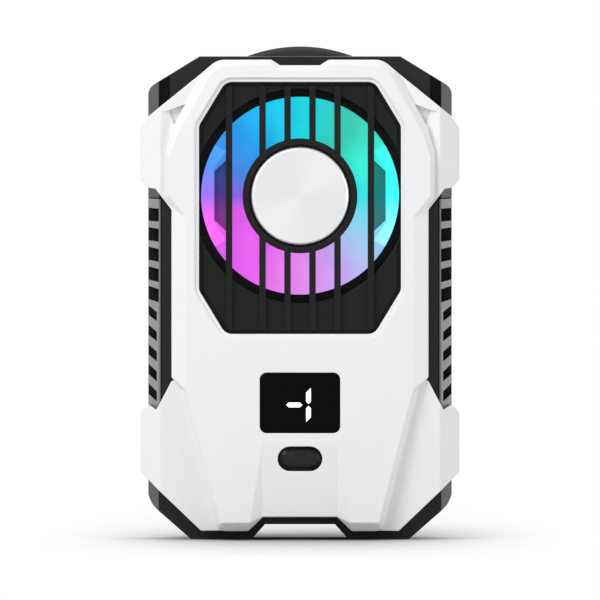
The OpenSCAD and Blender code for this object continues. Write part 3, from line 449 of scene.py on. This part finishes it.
def keep_flats(mesh):
    """Smooth shading over the rounded edges and curves, with a clean break round each broad face."""
    for face in mesh.faces:
        face.smooth = True
    for edge in mesh.edges:
        broad = max(face.calc_area() for face in edge.link_faces) > BROAD
        edge.smooth = edge.calc_face_angle(math.pi) < (FLAT_BREAK if broad else CREASE)


def paint(faces):
    """Gives faces the second finish of their piece, a painted shade."""
    for face in faces:
        face.material_index = 1


def add_piece(mesh, node, second=None):
    """Turns a bmesh into the piece that stands for a CAD node, with a second finish of painted shade for some
    faces.
    """
    keep_flats(mesh)
    name = node + "_skin"
    data = bpy.data.meshes.new(name)
    mesh.to_mesh(data)
    mesh.free()
    data.materials.append(FINISHES[slot_of[node]])
    if second:
        data.materials.append(second)
    piece = bpy.data.objects.new(name, data)
    bpy.context.scene.collection.objects.link(piece)
    flats = piece.modifiers.new("flats", "WEIGHTED_NORMAL")
    flats.keep_sharp = True
    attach(piece, body_of[node])
    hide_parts(node)


def add_skin(node, open_side=None):
    """Copy of a CAD node with rounded edges."""
    mesh = clean_copy(node)
    round_edges(mesh, *EDGES[node], open_side)
    add_piece(mesh, node)


def add_louvre(node):
    """Louvre with a pale outside, a painted reflection on black plastic, and windows darkened with painted
    shade.
    """
    mesh = clean_copy(node)
    round_edges(mesh, *EDGES[node], BACK)
    paint(set(mesh.faces) - hull_faces(mesh))
    add_piece(mesh, node, VENT_WINDOW_SHADE)


def add_button(node):
    """Button with a satin front and painted shade on its bevelled border."""
    mesh = clean_copy(node)
    paint(face for face in mesh.faces if face.normal.dot(FRONT) <= FACING)
    round_edges(mesh, *EDGES[node], BACK)
    add_piece(mesh, node, BUTTON_BORDER_SHADE)


# Depth of the channels in the rim of the case, radius of the rounding along them and its steps
CHANNEL_T = 0.4 * MM
CHANNEL_LIP = 0.25 * MM
LIP_STEPS = 3


def add_case(node):
    """Rear case with painted shade on the floors of the channels in its front rim, and rounded edges along
    them.
    """
    mesh = clean_copy(node)
    rim = min(vert.co.y for vert in mesh.verts)

    def is_floor(face):
        depth = face.calc_center_median().y - rim
        return face.normal.dot(FRONT) > FACING and CHANNEL_T / 2 < depth < 2 * CHANNEL_T

    def faces_out(face):
        return face.normal.x * math.copysign(1, face.calc_center_median().x) > FACING

    def on_rim(edge):
        return edge.is_convex and all(abs(vert.co.y - rim) < WELD for vert in edge.verts)

    floors = {face for face in mesh.faces if is_floor(face)}
    paint(floors)
    beside = {face for floor in floors for edge in floor.edges for face in edge.link_faces}
    lips = {edge for wall in beside if faces_out(wall) for edge in wall.edges if on_rim(edge)}
    bevel(mesh, lips, CHANNEL_LIP, LIP_STEPS)
    round_edges(mesh, *EDGES[node], FRONT)
    add_piece(mesh, node, CHANNEL_SHADE)


# Cross recess of a screw: reach and half width of its arms, its depth and the share that its floor keeps
RECESS_REACH = 1.05 * MM
RECESS_HALF = 0.28 * MM
RECESS_DEPTH = 1.1 * MM
RECESS_TAPER = 0.6


def cross_corners(middle, scale):
    """Corners of an upright cross in the XZ plane round its middle, in order."""
    reach = scale * RECESS_REACH
    half = scale * RECESS_HALF
    turned = [((u, v), (-v, u), (-u, -v), (v, -u)) for u, v in ((reach, -half), (reach, half), (half, half))]
    return [middle + Vector((u, 0, v)) for quarter in zip(*turned) for u, v in quarter]


def cut_recess(mesh, head):
    """Sinks a cross with tapered walls into the flat face of a screw head."""
    middle = head.calc_center_median()
    rim = [mesh.verts.new(corner) for corner in cross_corners(middle, 1)]
    floor = [mesh.verts.new(corner) for corner in cross_corners(middle - RECESS_DEPTH * BACK, RECESS_TAPER)]
    border = list(head.edges) + [mesh.edges.new((rim[step - 1], rim[step])) for step in range(len(rim))]
    bmesh.ops.delete(mesh, geom=[head], context="FACES_ONLY")
    bmesh.ops.triangle_fill(mesh, edges=border, use_beauty=True, normal=BACK)
    for step in range(len(rim)):
        mesh.faces.new((rim[step - 1], rim[step], floor[step], floor[step - 1]))
    mesh.faces.new(floor)


def add_screws(node):
    """Screws with rounded heads and a cross recess in each."""
    mesh = clean_copy(node)
    top = max(vert.co.y for vert in mesh.verts)

    def heads():
        return [face for face in mesh.faces if all(top - vert.co.y < WELD for vert in face.verts)]

    bevel(mesh, {edge for head in heads() for edge in head.edges}, *EDGES[node])
    mesh.normal_update()
    for head in heads():
        cut_recess(mesh, head)
    bmesh.ops.recalc_face_normals(mesh, faces=mesh.faces)
    add_piece(mesh, node)


# Turned pieces, about the fan axis

TURN_STEPS = 160
RIM_STEPS = 3
THIN_RIM = 0.15 * MM
SOFT_RIM = 0.2 * MM
BADGE_BEVEL = 0.5 * MM
PUCK_GAP = 0.2 * MM
MAGNET_W = 5.4 * MM
GROOVE_GAP = 0.15 * MM


def ring_places(radius, y):
    """Points of a circle about the fan axis."""
    turns = [2 * math.pi * step / TURN_STEPS for step in range(TURN_STEPS)]
    return [(FAN_AXIS.x + radius * math.cos(turn), y, FAN_AXIS.z + radius * math.sin(turn)) for turn in turns]


def add_turned(node, profile, width):
    """Piece of revolution from a closed profile of radius and Y, with its rims rounded."""
    mesh = bmesh.new()
    rings = [[mesh.verts.new(place) for place in ring_places(radius, y)] for radius, y in profile]
    for ring, after in zip(rings, rings[1:] + rings[:1]):
        for step in range(TURN_STEPS):
            mesh.faces.new((ring[step - 1], ring[step], after[step], after[step - 1]))
    bmesh.ops.remove_doubles(mesh, verts=mesh.verts, dist=WELD)
    bmesh.ops.delete(mesh, geom=[edge for edge in mesh.edges if edge.is_wire], context="EDGES")
    bmesh.ops.recalc_face_normals(mesh, faces=mesh.faces)
    bevel(mesh, [edge for edge in mesh.edges if is_sharp(edge)], width, RIM_STEPS)
    add_piece(mesh, node)


def radius_of(node):
    low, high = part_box(node)
    return (high.x - low.x) / 2


def add_badge():
    """Disc with a bevelled rim on the hub."""
    low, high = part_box("hub_badge")
    radius = radius_of("hub_badge")
    add_turned("hub_badge", [
        (0, high.y), (radius, high.y), (radius, low.y + BADGE_BEVEL),
        (radius - BADGE_BEVEL, low.y), (0, low.y),
    ], THIN_RIM)


def add_cooling_face():
    """Round plate on the back with its magnet groove, the pad on it and the cold plate in its middle."""
    low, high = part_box("magnet_housing")
    radius = radius_of("magnet_housing")
    pad_radius = radius_of("contact_pad")
    plate_radius = radius_of("cold_plate")
    chamfer = radius - pad_radius
    hole = plate_radius + PUCK_GAP
    magnet_out = radius_of("magnet_ring") + GROOVE_GAP
    magnet_in = magnet_out - MAGNET_W - 2 * GROOVE_GAP
    groove_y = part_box("flux_ring")[0].y
    add_turned("magnet_housing", [
        (hole, high.y), (hole, low.y), (radius - chamfer, low.y), (radius, low.y + chamfer),
        (radius, high.y - chamfer), (radius - chamfer, high.y), (magnet_out, high.y), (magnet_out, groove_y),
        (magnet_in, groove_y), (magnet_in, high.y),
    ], THIN_RIM)
    low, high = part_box("contact_pad")
    add_turned("contact_pad", [
        (hole, high.y), (hole, low.y), (pad_radius, low.y), (pad_radius, high.y),
    ], SOFT_RIM)
    low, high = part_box("cold_plate")
    add_turned("cold_plate", [
        (0, low.y), (plate_radius, low.y), (plate_radius, high.y), (0, high.y),
    ], SOFT_RIM)


# Camera and light

PICTURE_W = 0.12
PICTURE_MID_Z = 48.1 * MM
CAMERA_AWAY = 4.5
CAMERA_RISE = math.radians(1.0)
SENSOR_W = 36.0

WORLD_LEVEL = 0.6

# Place of each lamp, the point it looks at, its diameter and its watts
LAMPS = {
    "key": ((-0.42, -0.5, 0.46), (0, 0, 0.05), 0.38, 2.9),
    "fill": ((0.95, -0.42, 0.2), (0, 0, 0.05), 0.7, 2.1),
    "rim": ((0.1, 0.8, 0.8), (0, 0, 0.06), 0.6, 0.9),
}

FLOOR_R = 0.5
FLOOR_SIDES = 96
FLOOR_GLOW = 0.26
# Painted contact shadow on the floor: fall of the glow with openness, reach of the occlusion and the colours
# by openness
GLOW_FALL = 3
SHADOW_REACH = 0.12
SHADOW_STOPS = [(0.35, grey(0.2)), (0.97, grey(0.74))]
FADE_STRETCH = (9, 1.5, 1)
FADE_START = 0.2 * FLOOR_R


def add_camera():
    """Long lens straight at the front, a little from above."""
    target = Vector((0, cad_box[0][1], PICTURE_MID_Z))
    back = Vector((0, -math.cos(CAMERA_RISE), math.sin(CAMERA_RISE)))
    data = bpy.data.cameras.new("camera")
    data.sensor_width = SENSOR_W
    data.lens = SENSOR_W * CAMERA_AWAY / PICTURE_W
    camera = bpy.data.objects.new("camera", data)
    camera.location = target + CAMERA_AWAY * back
    camera.rotation_euler = (math.pi / 2 - CAMERA_RISE, 0, 0)
    bpy.context.scene.collection.objects.link(camera)
    bpy.context.scene.camera = camera


def add_lamp(name, place, target, size, watts):
    """Round soft lamp that the camera doesn't see."""
    data = bpy.data.lights.new(name, "AREA")
    data.shape = "DISK"
    data.size = size
    data.energy = watts
    lamp = bpy.data.objects.new(name, data)
    lamp.location = place
    lamp.rotation_euler = (Vector(target) - Vector(place)).to_track_quat("-Z", "Y").to_euler()
    lamp.visible_camera = False
    bpy.context.scene.collection.objects.link(lamp)


def seen_rays(tree):
    """1 for rays that show the background: from the camera, in a reflection or through glass."""
    path = tree.nodes.new("ShaderNodeLightPath")
    total = path.outputs["Is Camera Ray"]
    for name in ("Is Glossy Ray", "Is Transmission Ray"):
        most = tree.nodes.new("ShaderNodeMath")
        most.operation = "MAXIMUM"
        tree.links.new(total, most.inputs[0])
        tree.links.new(path.outputs[name], most.inputs[1])
        total = most.outputs[0]
    return total


def add_world():
    """Plain soft light all round, with a white backdrop."""
    world = bpy.data.worlds.new("studio")
    world.use_nodes = True
    tree = world.node_tree
    background = tree.nodes["Background"]
    background.inputs["Color"].default_value = (1, 1, 1, 1)
    strength = tree.nodes.new("ShaderNodeMapRange")
    strength.inputs["To Min"].default_value = WORLD_LEVEL
    strength.inputs["To Max"].default_value = 1.0
    tree.links.new(seen_rays(tree), strength.inputs["Value"])
    tree.links.new(strength.outputs["Result"], background.inputs["Strength"])
    bpy.context.scene.world = world


def add_floor():
    """Round floor, white where no shadow falls on it, with a painted contact shadow that darkens its colour
    and glow where nearby parts close off the sky, and that fades into the backdrop towards its rim.
    """
    bpy.ops.mesh.primitive_circle_add(vertices=FLOOR_SIDES, radius=FLOOR_R, fill_type="NGON",
                                      location=(0, 0, 0))
    floor = bpy.context.active_object
    floor.name = "floor"
    finish = Finish("floor_white", Roughness=0.9, Specular_IOR_Level=0.0, Emission_Color=(1, 1, 1, 1))
    nearby = finish.add("AmbientOcclusion")
    finish.set(nearby, Distance=SHADOW_REACH)
    openness = nearby.outputs["AO"]
    finish.feed("Base Color", finish.ramp(openness, SHADOW_STOPS))
    glow = finish.math("MULTIPLY", finish.math("POWER", openness, GLOW_FALL), FLOOR_GLOW)
    finish.feed("Emission Strength", finish.math("MULTIPLY", seen_rays(finish.tree), glow))
    distance = finish.add("VectorMath", operation="LENGTH")
    finish.link(finish.place(FADE_STRETCH), distance.inputs[0])
    fade = finish.span(distance.outputs["Value"], "SMOOTHSTEP", From_Min=FADE_START, From_Max=FLOOR_R,
                       To_Min=1.0, To_Max=0.0)
    finish.feed("Alpha", fade)
    floor.data.materials.append(finish.material)


# Build

add_camera()
add_world()
add_floor()
for name, lamp in LAMPS.items():
    add_lamp(name, *lamp)

add_skin("front_shell", open_side=BACK)
add_case("rear_case")
add_skin("fan_grille", open_side=BACK)
add_skin("light_guide", open_side=BACK)
add_button("power_button")
for node in ("vent_louvre_left", "vent_louvre_right"):
    add_louvre(node)
add_skin("display_window")
add_badge()
add_cooling_face()
add_screws("case_screws")
for node, thing in nodes.items():
    thing.data.materials.clear()
    thing.data.materials.append(FINISHES[slot_of[node]])

bpy.context.scene.view_settings.view_transform = "Standard"
